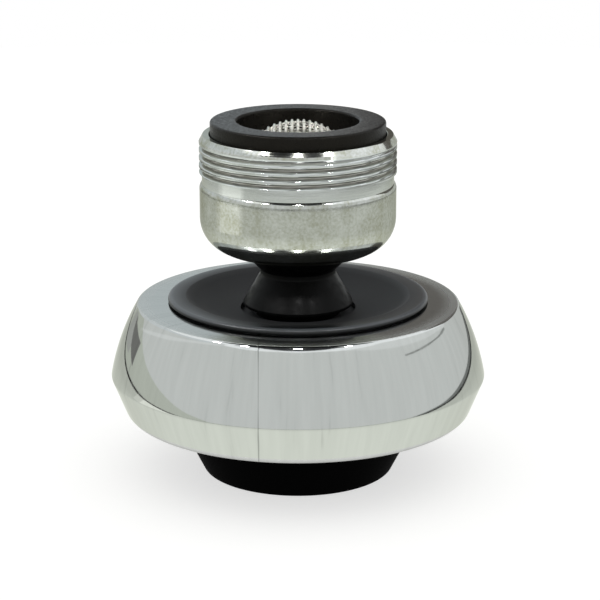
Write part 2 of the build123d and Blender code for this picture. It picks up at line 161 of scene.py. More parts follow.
def start_material(name):
    """A new material and its empty tree."""
    material = bpy.data.materials.new(name)
    material.use_nodes = True
    material.node_tree.nodes.clear()
    return material, material.node_tree


def end_material(material, surface):
    """Closes a material with the shader of its surface."""
    add(material.node_tree, "ShaderNodeOutputMaterial", {"Surface": surface})
    return material


def start_finish(name):
    """A new finish, its tree, and the place on the piece that its patterns follow."""
    material, tree = start_material(name)
    return material, tree, add(tree, "ShaderNodeTexCoord").outputs["Object"]


def end_finish(material, values):
    """Closes a finish with one principled shader, with its values and links on its own sockets."""
    return end_material(material, add(material.node_tree, "ShaderNodeBsdfPrincipled", values))


def start_tree(name, sizes):
    """A geometry tree with named inputs, and the sockets that feed it."""
    tree = bpy.data.node_groups.new(name, "GeometryNodeTree")
    tree.interface.new_socket("Geometry", in_out="OUTPUT", socket_type="NodeSocketGeometry")
    for label, kind in {"Geometry": "Geometry", **sizes, "Material": "Material"}.items():
        tree.interface.new_socket(label, in_out="INPUT", socket_type="NodeSocket" + kind)
    return tree, add(tree, "NodeGroupInput").outputs


def end_tree(tree, geometry, material):
    """Closes a geometry tree with plain geometry that carries its material."""
    plain = add(tree, "GeometryNodeRealizeInstances", {"Geometry": geometry})
    coated = add(tree, "GeometryNodeSetMaterial", {"Geometry": plain, "Material": material})
    add(tree, "NodeGroupOutput", {"Geometry": coated})
    return tree


def grow(piece, tree, sizes):
    """Runs a geometry tree on a piece and keeps the result as its plain mesh."""
    modifier = piece.modifiers.new(tree.name, "NODES")
    modifier.node_group = tree
    for item in tree.interface.items_tree:
        if item.in_out == "INPUT" and item.name in sizes:
            modifier[item.identifier] = sizes[item.name]
    depsgraph = bpy.context.evaluated_depsgraph_get()
    mesh = bpy.data.meshes.new_from_object(piece.evaluated_get(depsgraph))
    piece.modifiers.remove(modifier)
    piece.data = mesh
    smooth(mesh)


# Turned meshes

def smooth(mesh):
    """Smooth shading with the real edges left sharp."""
    mesh.shade_smooth()
    mesh.set_sharp_from_angle(angle=SHARP_ANGLE)


def rounded(corners):
    """Points of a closed outline of (radius, level) corners, with an arc where a rounding is given."""
    points = []
    for place, (r, z, *rounding) in enumerate(corners):
        here = Vector((r, z))
        if not rounding:
            points.append(here)
            continue
        before = (Vector(corners[place - 1][:2]) - here).normalized()
        after = (Vector(corners[(place + 1) % len(corners)][:2]) - here).normalized()
        half = before.angle(after) / 2
        centre = here + (before + after).normalized() * rounding[0] / math.sin(half)
        first = here + before * rounding[0] / math.tan(half) - centre
        last = here + after * rounding[0] / math.tan(half) - centre
        turn = math.atan2(first.x * last.y - first.y * last.x, first.dot(last))
        steps = max(ARC_STEPS_LEAST, math.ceil(abs(turn) / ARC_STEP))
        points += [centre + Matrix.Rotation(turn * k / steps, 2) @ first for k in range(steps + 1)]
    return points


def divided(points):
    """The same outline with long straight runs cut up, so that smooth shading stays true beside its arcs."""
    cut = []
    for here, there in zip(points, points[1:] + points[:1]):
        steps = max(1, math.ceil((there - here).length / RUN_STEP))
        cut += [here.lerp(there, k / steps) for k in range(steps)]
    return cut


def bowed(start, end, bow):
    """Corners along a shallow curve between two points, which bulges to the right of its way by bow."""
    start, end = Vector(start), Vector(end)
    way = (end - start).normalized()
    aside = Vector((way.y, -way.x))
    shares = [k / BOW_STEPS for k in range(BOW_STEPS + 1)]
    return [tuple(start.lerp(end, t) + aside * bow * 4 * t * (1 - t)) for t in shares]


def swept(middle, radius, low, high, steps=SWEEP_STEPS):
    """Corners along a round outline about a middle point, between two angles above the level."""
    angles = [low + (high - low) * k / steps for k in range(steps + 1)]
    return [(middle[0] + radius * math.cos(a), middle[1] + radius * math.sin(a)) for a in angles]


def turned(name, corners, material):
    """A closed piece turned about the upright axis from its outline."""
    outline = divided(rounded(corners))
    angles = [math.tau * k / TURN_STEPS for k in range(TURN_STEPS)]
    points = [(p.x * math.cos(a) * MM, p.x * math.sin(a) * MM, p.y * MM) for a in angles for p in outline]
    rows = len(outline)
    faces = []
    for turn in range(TURN_STEPS):
        here, there = turn * rows, (turn + 1) % TURN_STEPS * rows
        for row in range(rows):
            ahead = (row + 1) % rows
            faces.append((here + row, there + row, there + ahead, here + ahead))
    mesh = bpy.data.meshes.new(name)
    mesh.from_pydata(points, [], faces)
    whole = bmesh.new()
    whole.from_mesh(mesh)
    bmesh.ops.recalc_face_normals(whole, faces=whole.faces)
    whole.to_mesh(mesh)
    whole.free()
    smooth(mesh)
    mesh.materials.append(material)
    return put(name, mesh)


def put(name, data):
    """A new object in the scene."""
    thing = bpy.data.objects.new(name, data)
    bpy.context.collection.objects.link(thing)
    return thing


def settle(piece, body, slot, *nodes):
    """Puts a piece on its body in place of its solids. Its slot argument is not used."""
    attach(piece, body)
    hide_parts(*nodes)


# Finishes

# Patterns have real sizes in millimetres, but rings, grain and drawing marks are drawn coarse enough to show


def round_the_axis(tree, place, across, along):
    """Coordinates that run round the upright axis with no seam, for marks of the given sizes."""
    flat = add(tree, VECTOR, {0: place, 1: (1, 1, 0)}, operation="MULTIPLY")
    outward = add(tree, VECTOR, {0: flat}, operation="NORMALIZE")
    spread = (collar_r / across,) * 3
    ring = add(tree, VECTOR, {0: outward, 1: spread}, operation="MULTIPLY")
    rise = (0, 0, 1 / (along * MM))
    height = add(tree, VECTOR, {0: place, 1: rise}, operation="MULTIPLY")
    return add(tree, VECTOR, {0: ring, 1: height}, operation="ADD")


def plated_turned_brass():
    """Satin chrome on turned brass: tool rings, faint stains, brighter on the thread, and painted shade
    darkening its grooves.
    """
    ring_len, ring_w, ring_depth = 5.0, 0.16, 0.002
    stain_w, stain_h = 2.6, 4.0
    speck, speck_share = 0.35, 0.45
    crest_margin = 0.08
    material, tree, place = start_finish("chrome_plated_turned_brass")
    rings = add(tree, NOISE, {
        "Vector": round_the_axis(tree, place, ring_len, ring_w), "Scale": 1.0, "Detail": 2.0})
    stains = add(tree, NOISE, {
        "Vector": round_the_axis(tree, place, stain_w, stain_h), "Scale": 1.0, "Detail": 5.0})
    specks = add(tree, NOISE, {"Vector": place, "Scale": 1 / (speck * MM), "Detail": 3.0})
    mottle = add(tree, "ShaderNodeMix", {FACTOR: speck_share, VALUE_A: stains, VALUE_B: specks})
    tint = add(tree, RAMP, {"Fac": mottle},
               stops=((0.36, "#AEAFA1"), (0.5, "#C3C5BF"), (0.64, "#D3D5D2")))
    flat = add(tree, VECTOR, {0: place, 1: (1, 1, 0)}, operation="MULTIPLY")
    radius = add(tree, VECTOR, {0: flat}, operation="LENGTH").outputs["Value"]
    level = add(tree, SPLIT, {0: place}).outputs["Z"]
    # Painted shade: the deep part of the thread gets a darker colour
    deep = add(tree, RANGE, {
        "Value": radius, "From Min": (collar_r - THREAD_DEPTH) * MM,
        "From Max": (collar_r - crest_margin) * MM, "To Min": 1.0, "To Max": 0.0})
    above = add(tree, MATH, {0: level, 1: thread_end * MM}, operation="GREATER_THAN")
    below = add(tree, MATH, {0: level, 1: crest_top * MM}, operation="LESS_THAN")
    threaded = add(tree, MATH, {0: above, 1: below}, operation="MULTIPLY")
    groove_painted_shade = add(tree, MATH, {0: deep, 1: threaded}, operation="MULTIPLY")
    risen = add(tree, MATH, {0: level, 1: band_top * MM}, operation="GREATER_THAN")
    machined = add(tree, MATH, {0: risen, 1: below}, operation="MULTIPLY")
    bright = add(tree, "ShaderNodeMix", {
        FACTOR: machined, COLOUR_A: tint, COLOUR_B: linear("#DEE1E1")}, data_type="RGBA")
    dulled = add(tree, "ShaderNodeMix", {
        FACTOR: groove_painted_shade, COLOUR_A: bright.outputs[COLOUR_OUT], COLOUR_B: linear("#ADABA7")}, data_type="RGBA")
    rough = add(tree, RANGE, {
        "Value": rings, "From Min": NOISE_LOW, "From Max": NOISE_HIGH, "To Min": 0.07, "To Max": 0.14})
    bump = add(tree, "ShaderNodeBump", {"Height": rings, "Strength": 0.3, "Distance": ring_depth * MM})
    return end_finish(material, {
        "Base Color": dulled.outputs[COLOUR_OUT], "Metallic": 1.0, "Specular Tint": linear("#D4D4CE"),
        "Roughness": rough, "Normal": bump})


def plated_moulded_shell():
    """Mirror chrome on a moulded shell: slow waves, faint streaks, a dull land, the mould's parting line."""
    wave, wave_depth = 3.2, 0.006
    streak_w, streak_len = 0.5, 9.0
    parting_x, parting_core, parting_w = -4.5, 0.02, 0.12
    parting_rise, parting_shade = 1.5, -0.5
    land_edge = land_level - LAND_RISE
    land_start, inner_start, inner_end = land_edge - 0.1, land_edge + 0.03, land_edge + 0.09
    land_rough, inner_share = 0.3, 0.4
    material, tree, place = start_finish("chrome_plated_moulding")
    waves = add(tree, NOISE, {"Vector": place, "Scale": 1 / (wave * MM), "Detail": 1.0})
    streaks = add(tree, NOISE, {
        "Vector": round_the_axis(tree, place, streak_w, streak_len), "Scale": 1.0, "Detail": 2.0})
    polish = add(tree, RANGE, {
        "Value": streaks, "From Min": NOISE_LOW, "From Max": NOISE_HIGH, "To Min": 0.03, "To Max": 0.065})
    across, along, level = add(tree, SPLIT, {0: place}).outputs
    land = add(tree, RANGE, {
        "Value": level, "From Min": land_start * MM, "From Max": land_edge * MM, "To Max": land_rough})
    inward = add(tree, RANGE, {
        "Value": level, "From Min": inner_start * MM, "From Max": inner_end * MM,
        "To Min": 1.0, "To Max": inner_share})
    dulled = add(tree, MATH, {0: land, 1: inward}, operation="MULTIPLY")
    rough = add(tree, MATH, {0: polish, 1: dulled}, operation="MAXIMUM")
    beside = add(tree, MATH, {0: across, 1: parting_x * MM}, operation="SUBTRACT")
    away = add(tree, MATH, {0: beside}, operation="ABSOLUTE")
    ridge = add(tree, RANGE, {
        "Value": away, "From Min": parting_core * MM, "From Max": parting_w * MM,
        "To Min": 1.0, "To Max": 0.0})
    front = add(tree, MATH, {0: along, 1: 0.0}, operation="LESS_THAN")
    line = add(tree, MATH, {0: ridge, 1: front}, operation="MULTIPLY")
    height = add(tree, MATH, {0: line, 1: parting_rise, 2: waves}, operation="MULTIPLY_ADD")
    shade = add(tree, MATH, {0: line, 1: parting_shade, 2: streaks}, operation="MULTIPLY_ADD")
    tint = add(tree, RAMP, {"Fac": shade},
               stops=((0.0, "#A2A4A2"), (0.34, "#CBCDCB"), (0.66, "#D0D2D0")))
    bump = add(tree, "ShaderNodeBump", {"Height": height, "Strength": 0.5, "Distance": wave_depth * MM})
    return end_finish(material, {
        "Base Color": tint, "Metallic": 1.0, "Specular Tint": linear("#E2E2E0"),
        "Roughness": rough, "Normal": bump})


def moulded_rubber():
    """Black nitrile rubber from a mould: dull, with a fine grain and a grey bloom."""
    grain_w, grain_depth, bloom_w = 0.3, 0.03, 2.6
    material, tree, place = start_finish("moulded_nitrile_rubber")
    grain = add(tree, NOISE, {"Vector": place, "Scale": 1 / (grain_w * MM), "Detail": 3.0})
    bloom = add(tree, NOISE, {"Vector": place, "Scale": 1 / (bloom_w * MM), "Detail": 4.0})
    tint = add(tree, RAMP, {"Fac": bloom}, stops=((NOISE_LOW, "#060504"), (NOISE_HIGH, "#0F0D0A")))
    rough = add(tree, RANGE, {
        "Value": grain, "From Min": NOISE_LOW, "From Max": NOISE_HIGH, "To Min": 0.24, "To Max": 0.46})
    bump = add(tree, "ShaderNodeBump", {"Height": grain, "Strength": 0.8, "Distance": grain_depth * MM})
    return end_finish(material, {
        "Base Color": tint, "IOR": 1.52, "Specular IOR Level": 0.165, "Specular Tint": linear("#FFF8EC"),
        "Roughness": rough, "Normal": bump})


def satin_black_abs():
    """Black ABS from a satin mould: a dull grained bowl, a smoother rim with a painted highlight round its
    outer edge, rubbed patches.
    """
    grain_w, grain_depth, rubbed_w = 0.16, 0.008, 5.0
    bowl_r, rim_r = dish_r - DISH_RIM_W - 1.0, dish_r - 0.8
    bowl_rough, rim_rough, rub_rough = 0.66, 0.3, 0.08
    # Painted highlight: a lighter colour round the rim's outer upper edge
    highlight_in_r, highlight_out_r = dish_r - 0.75, dish_r - 0.4
    highlight_low, highlight_high = dish_rim_level - 0.3, dish_rim_level - 0.12
    material, tree, place = start_finish("satin_moulded_abs")
    grain = add(tree, NOISE, {"Vector": place, "Scale": 1 / (grain_w * MM), "Detail": 2.0})
    rubbed = add(tree, NOISE, {"Vector": place, "Scale": 1 / (rubbed_w * MM), "Detail": 3.0})
    tint = add(tree, RAMP, {"Fac": rubbed}, stops=((NOISE_LOW, "#0A0C10"), (NOISE_HIGH, "#101318")))
    flat = add(tree, VECTOR, {0: place, 1: (1, 1, 0)}, operation="MULTIPLY")
    radius = add(tree, VECTOR, {0: flat}, operation="LENGTH").outputs["Value"]
    bowl = add(tree, RANGE, {
        "Value": radius, "From Min": bowl_r * MM, "From Max": rim_r * MM,
        "To Min": bowl_rough, "To Max": rim_rough})
    rough = add(tree, MATH, {0: rubbed, 1: rub_rough, 2: bowl}, operation="MULTIPLY_ADD")
    level = add(tree, SPLIT, {0: place}).outputs["Z"]
    outer = add(tree, RANGE, {"Value": radius, "From Min": highlight_in_r * MM, "From Max": highlight_out_r * MM})
    upper = add(tree, RANGE, {"Value": level, "From Min": highlight_low * MM, "From Max": highlight_high * MM})
    edge = add(tree, MATH, {0: outer, 1: upper}, operation="MULTIPLY")
    # The rim's lighter outer edge is a painted highlight
    painted_highlight = add(tree, "ShaderNodeMix", {
        FACTOR: edge, COLOUR_A: tint, COLOUR_B: linear("#484C50")}, data_type="RGBA")
    bump = add(tree, "ShaderNodeBump", {"Height": grain, "Strength": 0.4, "Distance": grain_depth * MM})
    return end_finish(material, {
        "Base Color": painted_highlight.outputs[COLOUR_OUT], "IOR": 1.54, "Specular IOR Level": 0.4,
        "Roughness": rough, "Normal": bump})


def shaded_foot_abs():
    """Black ABS of the foot: a darker copy of the dish's black with hardly any sheen, painted shade for the
    shadow under the head, with a fine grain.
    """
    grain_w, grain_depth = 0.2, 0.012
    material, tree, place = start_finish("foot_abs_painted_shade")
    grain = add(tree, NOISE, {"Vector": place, "Scale": 1 / (grain_w * MM), "Detail": 3.0})
    tint = add(tree, RAMP, {"Fac": grain}, stops=((NOISE_LOW, "#010101"), (NOISE_HIGH, "#040404")))
    rough = add(tree, RANGE, {"Value": grain, "To Min": 0.5, "To Max": 0.7})
    bump = add(tree, "ShaderNodeBump", {"Height": grain, "Strength": 0.4, "Distance": grain_depth * MM})
    return end_finish(material, {
        "Base Color": tint, "IOR": 1.54, "Specular IOR Level": 0.005, "Roughness": rough, "Normal": bump})


def polished_black_acetal():
    """Black acetal, turned and polished: deep black with a weak soft gloss, duller in small rubbed spots."""
    spot_w, spot_depth = 0.9, 0.02
    material, tree, place = start_finish("polished_black_acetal")
    spots = add(tree, NOISE, {"Vector": place, "Scale": 1 / (spot_w * MM), "Detail": 5.0})
    tint = add(tree, RAMP, {"Fac": spots}, stops=((0.4, "#020202"), (0.75, "#060606")))
    rough = add(tree, RANGE, {
        "Value": spots, "From Min": 0.35, "From Max": 0.7, "To Min": 0.28, "To Max": 0.5})
    bump = add(tree, "ShaderNodeBump", {"Height": spots, "Strength": 0.4, "Distance": spot_depth * MM})
    return end_finish(material, {
        "Base Color": tint, "IOR": 1.48, "Specular IOR Level": 0.1, "Roughness": rough, "Normal": bump})


def natural_acetal():
    """Undyed acetal from a mould: milky white with a soft waxy gloss."""
    flow_w = 4.0
    material, tree, place = start_finish("moulded_natural_acetal")
    flow = add(tree, NOISE, {"Vector": place, "Scale": 1 / (flow_w * MM), "Detail": 3.0})
    tint = add(tree, RAMP, {"Fac": flow}, stops=((NOISE_LOW, "#DAD9D0"), (NOISE_HIGH, "#E8E7DF")))
    rough = add(tree, RANGE, {"Value": flow, "To Min": 0.32, "To Max": 0.46})
    return end_finish(material, {"Base Color": tint, "IOR": 1.48, "Roughness": rough})


def stainless_wire():
    """Drawn stainless wire, woven: bright along each wire with fine drawing marks."""
    mark_w = 0.3
    material, tree, place = start_finish("drawn_stainless_wire")
    marks = add(tree, NOISE, {"Vector": place, "Scale": 1 / (mark_w * MM), "Detail": 3.0})
    tint = add(tree, RAMP, {"Fac": marks}, stops=((NOISE_LOW, "#DCDACF"), (NOISE_HIGH, "#F2F0E8")))
    rough = add(tree, RANGE, {"Value": marks, "To Min": 0.22, "To Max": 0.34})
    return end_finish(material, {"Base Color": tint, "Metallic": 1.0, "Roughness": rough})


def spring_steel():
    """Plain spring steel strip: grey and lightly brushed."""
    brush_len, brush_w = 6.0, 0.15
    material, tree, place = start_finish("brushed_spring_steel")
    marks = add(tree, NOISE, {
        "Vector": round_the_axis(tree, place, brush_len, brush_w), "Scale": 1.0, "Detail": 2.0})
    tint = add(tree, RAMP, {"Fac": marks}, stops=((NOISE_LOW, "#9A9B9D"), (NOISE_HIGH, "#B0B1B3")))
    rough = add(tree, RANGE, {"Value": marks, "To Min": 0.28, "To Max": 0.45})
    return end_finish(material, {"Base Color": tint, "Metallic": 1.0, "Roughness": rough})


FINISHES = {
    "chrome_brass": plated_turned_brass(),
    "chrome_shell": plated_moulded_shell(),
    "black_rubber": moulded_rubber(),
    "black_plastic": satin_black_abs(),
    "black_acetal": polished_black_acetal(),
    "white_acetal": natural_acetal(),
    "wire_screen": stainless_wire(),
    "spring_steel": spring_steel(),
}
# The foot's copy of the black plastic is darker and sheen-less: painted shade
SHADED_FOOT_FINISH = shaded_foot_abs()


# Tap collar with its thread

RELIEF_DEPTH = 0.33
BAND_INSET = 0.03
BAND_EDGE_H = 0.62
BAND_EDGE_ROUND = 0.8
BAND_EDGE_STEPS = 12
CONE_H = 1.3
CONE_ROUND = 4.2
LIP_R = 9.0
LIP_EDGE_ROUND = 0.25
LIP_GRIP = 0.1


def thread_tree():
    """Presses a thread with rounded crests into the outer wall of a turned piece between two levels."""
    tree, size = start_tree("tap_thread", {
        "Pitch": "Float", "Depth": "Float", "Start": "Float", "End": "Float", "Lead": "Float",
        "Run Out": "Float", "Crest": "Float", "Root": "Float", "Phase": "Float", "Wall Radius": "Float",
    })
    place = add(tree, "GeometryNodeInputPosition")
    x, y, z = add(tree, SPLIT, {0: place}).outputs
    flat = add(tree, JOIN, {"X": x, "Y": y})
    radius = add(tree, VECTOR, {0: flat}, operation="LENGTH").outputs["Value"]
    angle = add(tree, MATH, {0: y, 1: x}, operation="ARCTAN2")
    turn = add(tree, MATH, {0: angle, 1: 1 / math.tau}, operation="MULTIPLY")
    risen = add(tree, MATH, {0: z, 1: size["Start"]}, operation="SUBTRACT")
    climb = add(tree, MATH, {0: risen, 1: size["Pitch"]}, operation="DIVIDE")
    wound = add(tree, MATH, {0: climb, 1: turn}, operation="SUBTRACT")
    phase = add(tree, MATH, {0: wound, 1: size["Phase"]}, operation="ADD")
    share = add(tree, MATH, {0: phase}, operation="FRACT")
    swing = add(tree, MATH, {0: share, 1: 2.0, 2: -1.0}, operation="MULTIPLY_ADD")
    crest = add(tree, MATH, {0: swing}, operation="ABSOLUTE")
    crest_from = add(tree, MATH, {0: 1.0, 1: size["Crest"]}, operation="SUBTRACT")
    groove = add(tree, RANGE, {
        "Value": crest, "From Min": size["Root"], "From Max": crest_from, "To Min": 1.0, "To Max": 0.0},
        interpolation_type="SMOOTHSTEP")
    low = add(tree, MATH, {0: size["Start"], 1: size["Run Out"]}, operation="ADD")
    foot = add(tree, RANGE, {"Value": z, "From Min": size["Start"], "From Max": low})
    lead = add(tree, MATH, {0: size["End"], 1: size["Lead"]}, operation="SUBTRACT")
    top = add(tree, RANGE, {
        "Value": z, "From Min": lead, "From Max": size["End"], "To Min": 1.0, "To Max": 0.0},
        interpolation_type="SMOOTHSTEP")
    faded = add(tree, MATH, {0: foot, 1: top}, operation="MULTIPLY")
    cut = add(tree, MATH, {0: groove, 1: faded}, operation="MULTIPLY")
    sunk = add(tree, MATH, {0: cut, 1: size["Depth"]}, operation="MULTIPLY")
    ratio = add(tree, MATH, {0: sunk, 1: radius}, operation="DIVIDE")
    pull = add(tree, VECTOR, {0: flat, "Scale": ratio}, operation="SCALE")
    moved = add(tree, VECTOR, {0: place, 1: pull}, operation="SUBTRACT")
    wall = add(tree, MATH, {0: radius, 1: size["Wall Radius"]}, operation="GREATER_THAN")
    pressed = add(tree, "GeometryNodeSetPosition", {
        "Geometry": size["Geometry"], "Selection": wall, "Position": moved})
    return end_tree(tree, pressed, size["Material"])


def make_collar():
    """The collar with its rounded underside, plain band, relief, thread and inlet."""
    inlet_r = washer_r + ASSEMBLY_GAP
    bore_r = clamp_r + ASSEMBLY_GAP
    band_r = collar_r - BAND_INSET
    relief_r = collar_r - RELIEF_DEPTH
    lip_hole_r = ball_r - LIP_GRIP
    rows = math.ceil((crest_top - thread_end) / THREAD_PITCH * THREAD_ROWS_PER_PITCH)
    wall = [(collar_r, thread_end + (crest_top - thread_end) * k / rows) for k in range(rows)]
    edge_middle = (band_r - BAND_EDGE_ROUND, band_top - BAND_EDGE_H)
    edge_end = math.asin(BAND_EDGE_H / BAND_EDGE_ROUND)
    edge = swept(edge_middle, BAND_EDGE_ROUND, 0, edge_end, BAND_EDGE_STEPS)
    piece = turned("threaded_collar", [
        (lip_hole_r, collar_bottom),
        (LIP_R, collar_bottom, LIP_EDGE_ROUND),
        (band_r, collar_bottom + CONE_H, CONE_ROUND),
        *edge[:-1],
        (relief_r, band_top),
        (relief_r, thread_end),
        *wall,
        (collar_r, crest_top),
        (collar_r - LEAD_IN_W, collar_top, LEAD_IN_ROUND),
        (inlet_r, collar_top, LEAD_IN_ROUND),
        (inlet_r, mesh_bottom),
        (bore_r, mesh_bottom),
        (bore_r, seat_bottom),
        (lip_hole_r, seat_bottom),
    ], FINISHES["chrome_brass"])
    grow(piece, thread_tree(), {
        "Pitch": THREAD_PITCH * MM, "Depth": THREAD_DEPTH * MM,
        "Start": thread_end * MM, "End": crest_top * MM,
        "Lead": THREAD_FADE * MM, "Run Out": THREAD_RUN_OUT * MM,
        "Crest": THREAD_CREST, "Root": THREAD_ROOT, "Phase": THREAD_PHASE,
        "Wall Radius": relief_r * MM, "Material": FINISHES["chrome_brass"],
    })
    settle(piece, "collar", "chrome_brass", "swivel_collar")


# Inlet washer and woven screens

WASHER_HOLE_R = 7.33
WASHER_EDGE_ROUND = 0.3
DOME_R = 7.6
INLET_WIRE_R = 0.17
INLET_PITCH = 0.71
OUTLET_WIRE_R = 0.07
OUTLET_PITCH = 0.62
FLAT_SCREEN_R = 2000.0
WIRE_SIDES = 6
WEFT_SHARE = 0.2
WEFT_SINK = -0.85
WEFT_BEND = 0.3
WIRE_POINTS_PER_PITCH = 8


def weave_tree():
    """Wire cloth over a dome that runs out into a flat flange: thick warp wires on a thin weft."""
    tree, size = start_tree("wire_cloth", {
        "Wires": "Int", "Points": "Int", "Pitch": "Float", "Wire Radius": "Float", "Cloth Radius": "Float",
        "Apex": "Float", "Dome Radius": "Float", "Flange": "Float",
    })
    back = add(tree, MATH, {0: size["Cloth Radius"], 1: -1.0}, operation="MULTIPLY")
    start = add(tree, JOIN, {"X": back})
    end = add(tree, JOIN, {"X": size["Cloth Radius"]})
    line = add(tree, "GeometryNodeCurvePrimitiveLine", {"Start": start, "End": end})
    wire = add(tree, "GeometryNodeResampleCurve", {"Curve": line, "Count": size["Points"]})
    gaps = add(tree, MATH, {0: size["Wires"], 1: 1.0}, operation="SUBTRACT")
    width = add(tree, MATH, {0: gaps, 1: size["Pitch"]}, operation="MULTIPLY")
    first = add(tree, MATH, {0: width, 1: -0.5}, operation="MULTIPLY")
    origin = add(tree, JOIN, {"Y": first})
    step = add(tree, JOIN, {"Y": size["Pitch"]})
    posts = add(tree, "GeometryNodeMeshLine", {
        "Count": size["Wires"], "Start Location": origin, "Offset": step})
    laid = add(tree, "GeometryNodeInstanceOnPoints", {"Points": posts, "Instance": wire})
    weft = add(tree, "GeometryNodeRealizeInstances", {"Geometry": laid})
    warp = add(tree, "GeometryNodeTransform", {"Geometry": weft, "Rotation": (0, 0, math.pi / 2)})

    place = add(tree, "GeometryNodeInputPosition")
    x, y, _ = add(tree, SPLIT, {0: place}).outputs
    radius = add(tree, VECTOR, {0: place}, operation="LENGTH").outputs["Value"]
    square = add(tree, MATH, {0: radius, 1: radius}, operation="MULTIPLY")
    dome = add(tree, MATH, {0: size["Dome Radius"], 1: size["Dome Radius"]}, operation="MULTIPLY")
    left = add(tree, MATH, {0: dome, 1: square}, operation="SUBTRACT")
    kept = add(tree, MATH, {0: left, 1: 0.0}, operation="MAXIMUM")
    root = add(tree, MATH, {0: kept}, operation="SQRT")
    whole = add(tree, MATH, {0: size["Dome Radius"], 1: root}, operation="ADD")
    sag = add(tree, MATH, {0: square, 1: whole}, operation="DIVIDE")
    crown = add(tree, MATH, {0: size["Apex"], 1: sag}, operation="SUBTRACT")
    level = add(tree, MATH, {0: crown, 1: size["Flange"]}, operation="MAXIMUM")
    beat = add(tree, MATH, {0: math.pi, 1: size["Pitch"]}, operation="DIVIDE")
    along = add(tree, MATH, {0: x, 1: beat}, operation="MULTIPLY")
    across = add(tree, MATH, {0: y, 1: beat}, operation="MULTIPLY")
    wave_x = add(tree, MATH, {0: along}, operation="COSINE")
    wave_y = add(tree, MATH, {0: across}, operation="COSINE")
    crossing = add(tree, MATH, {0: wave_x, 1: wave_y}, operation="MULTIPLY")
    lift = add(tree, MATH, {0: crossing, 1: size["Wire Radius"]}, operation="MULTIPLY")
    beyond = add(tree, MATH, {0: radius, 1: size["Cloth Radius"]}, operation="GREATER_THAN")
    cloth = add(tree, "GeometryNodeJoinGeometry")
    for wires, bend, share, sink in ((weft, WEFT_BEND, WEFT_SHARE, WEFT_SINK), (warp, 0.0, 1.0, 0.0)):
        thick = add(tree, MATH, {0: size["Wire Radius"], 1: share}, operation="MULTIPLY")
        section = add(tree, "GeometryNodeCurvePrimitiveCircle", {"Resolution": WIRE_SIDES, "Radius": thick})
        trimmed = add(tree, "GeometryNodeDeleteGeometry", {"Geometry": wires, "Selection": beyond})
        base = add(tree, MATH, {0: size["Wire Radius"], 1: sink, 2: level}, operation="MULTIPLY_ADD")
        over = add(tree, MATH, {0: lift, 1: bend, 2: base}, operation="MULTIPLY_ADD")
        spot = add(tree, JOIN, {"X": x, "Y": y, "Z": over})
        bent = add(tree, "GeometryNodeSetPosition", {"Geometry": trimmed, "Position": spot})
        tube = add(tree, "GeometryNodeCurveToMesh", {
            "Curve": bent, "Profile Curve": section, "Fill Caps": True})
        tree.links.new(tube.outputs[0], cloth.inputs[0])
    return end_tree(tree, cloth, size["Material"])


def woven(name, pitch, wire_r, cloth_r, apex, dome_r, flange):
    """One piece of wire cloth, all its sizes and levels in millimetres."""
    wires = 2 * int(cloth_r / pitch) + 1
    piece = put(name, bpy.data.meshes.new(name))
    grow(piece, weave_tree(), {
        "Wires": wires, "Points": wires * WIRE_POINTS_PER_PITCH, "Pitch": pitch * MM,
        "Wire Radius": wire_r * MM, "Cloth Radius": cloth_r * MM,
        "Apex": apex * MM, "Dome Radius": dome_r * MM, "Flange": flange * MM,
        "Material": FINISHES["wire_screen"],
    })
    return piece


def make_inlet():
    """The washer that stands proud of the collar, and the domed screen in its hole."""
    washer = turned("inlet_seal", [
        (WASHER_HOLE_R, washer_bottom),
        (washer_r, washer_bottom),
        (washer_r, washer_top, WASHER_EDGE_ROUND),
        (WASHER_HOLE_R, washer_top, WASHER_EDGE_ROUND),
    ], FINISHES["black_rubber"])
    settle(washer, "collar", "black_rubber", "inlet_washer")
    screen = woven(
        "inlet_wire_dome", INLET_PITCH, INLET_WIRE_R, washer_r - ASSEMBLY_GAP,
        mesh_top - INLET_WIRE_R, DOME_R, mesh_bottom + INLET_WIRE_R)
    settle(screen, "collar", "wire_screen", "inlet_screen")


# Ball stem

STEM_BORE_R = 2.2
SPIGOT_R = 5.0
SPIGOT_END_R = 4.0
NECK_R = 4.6
NECK_LEN = 0.58
NECK_ROUND = 0.5
NECK_TOP_ROUND = 0.25
FLARE_R = 6.67
FLARE_EDGE_H = 0.35
FLARE_RISE = 3.57
FLARE_EDGE_ROUND = 0.17
FLARE_FOOT_ROUND = 0.085
BALL_FLAT_W = 0.35
CLIP_GROOVE_DEPTH = 0.5

# Points of the ball's sweep that give way to the rounding of the neck
BALL_TRIM = 2


